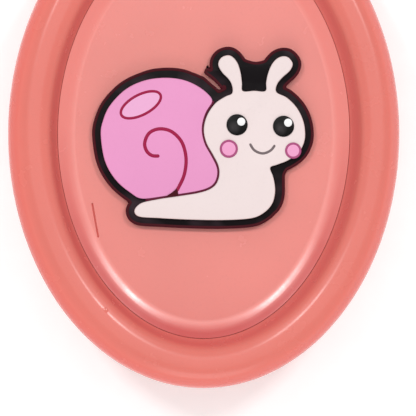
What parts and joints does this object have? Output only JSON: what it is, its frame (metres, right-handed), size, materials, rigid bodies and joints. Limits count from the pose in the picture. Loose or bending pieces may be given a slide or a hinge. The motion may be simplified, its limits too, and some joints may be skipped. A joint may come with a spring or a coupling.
{
  "type": "tape dispenser",
  "caption": "Palm-size oval tape dispenser with a dished face and snail badge, hinged refill lid, spool, guide roller, serrated cutter and swinging cutter cover.",
  "frame": {"origin": "middle of the case's oval outline, on its flat back face", "axes": "+Z out of the decorated face, +Y along the oval towards the mouth and the cutter, +X across"},
  "size_m": [0.06, 0.0819, 0.022],
  "materials": {
    "coral_plastic": "glossy injection-moulded coral ABS, lightly moulded flow marks",
    "coral_lid_plastic": "glossy injection-moulded coral ABS",
    "white_plastic": "satin natural white acetal",
    "zinc_steel": "zinc-plated steel",
    "spring_steel": "bright spring steel",
    "blade_steel": "stamped stainless strip with a ground edge",
    "cardboard": "plain wound card",
    "tape_film": "clear adhesive film, wound in fine layers",
    "black_pvc": "soft moulded plastic, satin black",
    "pink_pvc": "soft moulded plastic, satin pink",
    "cream_pvc": "soft moulded plastic, satin cream",
    "blush_pvc": "soft moulded plastic, satin blush pink",
    "white_pvc": "soft moulded plastic, white"
  },
  "bodies": {
    "case": {"back_shell": "coral_plastic", "front_shell": "coral_plastic", "case_screw_1": "zinc_steel", "case_screw_2": "zinc_steel", "case_screw_3": "zinc_steel", "case_screw_4": "zinc_steel", "nose_block": "white_plastic", "cutter_blade": "blade_steel", "guide_pin": "zinc_steel", "cover_pin": "zinc_steel", "lid_hinge_pin": "zinc_steel", "hub_washer": "spring_steel", "hub_screw": "zinc_steel", "brake_washer": "spring_steel", "tape_lead": "tape_film"},
    "spool": {"spool_hub": "white_plastic", "tape_core": "cardboard", "tape_roll": "tape_film"},
    "roller": {"guide_roller": "white_plastic"},
    "lid": {"refill_lid": "coral_lid_plastic", "badge_base": "black_pvc", "badge_shell": "pink_pvc", "badge_body": "cream_pvc", "badge_eye_left": "black_pvc", "badge_eye_right": "black_pvc", "badge_glint_left": "white_pvc", "badge_glint_right": "white_pvc", "badge_cheek_left": "blush_pvc", "badge_cheek_right": "blush_pvc"},
    "cover": {"blade_cover": "coral_plastic"}
  },
  "joints": [
    {"name": "spool_spin", "type": "hinge", "parent": "case", "child": "spool", "pos_m": [0, -0.0065, 0.0096], "axis": [0, 0, 1], "continuous": true},
    {"name": "roller_spin", "type": "hinge", "parent": "case", "child": "roller", "pos_m": [0.009, 0.025, 0.0093], "axis": [0, 0, 1], "continuous": true},
    {"name": "lid_hinge", "type": "hinge", "parent": "case", "child": "lid", "pos_m": [0, 0.0332, 0.02], "axis": [-1, 0, 0], "range_deg": [0, 105]},
    {"name": "cover_hinge", "type": "hinge", "parent": "case", "child": "cover", "pos_m": [-0.0095, 0.0392, 0.0097], "axis": [0, 0, 1], "range_deg": [0, 120]}
  ],
  "couplings": [
    {"joint": "roller_spin", "follows": "spool_spin", "ratio": 7.2}
  ]
}
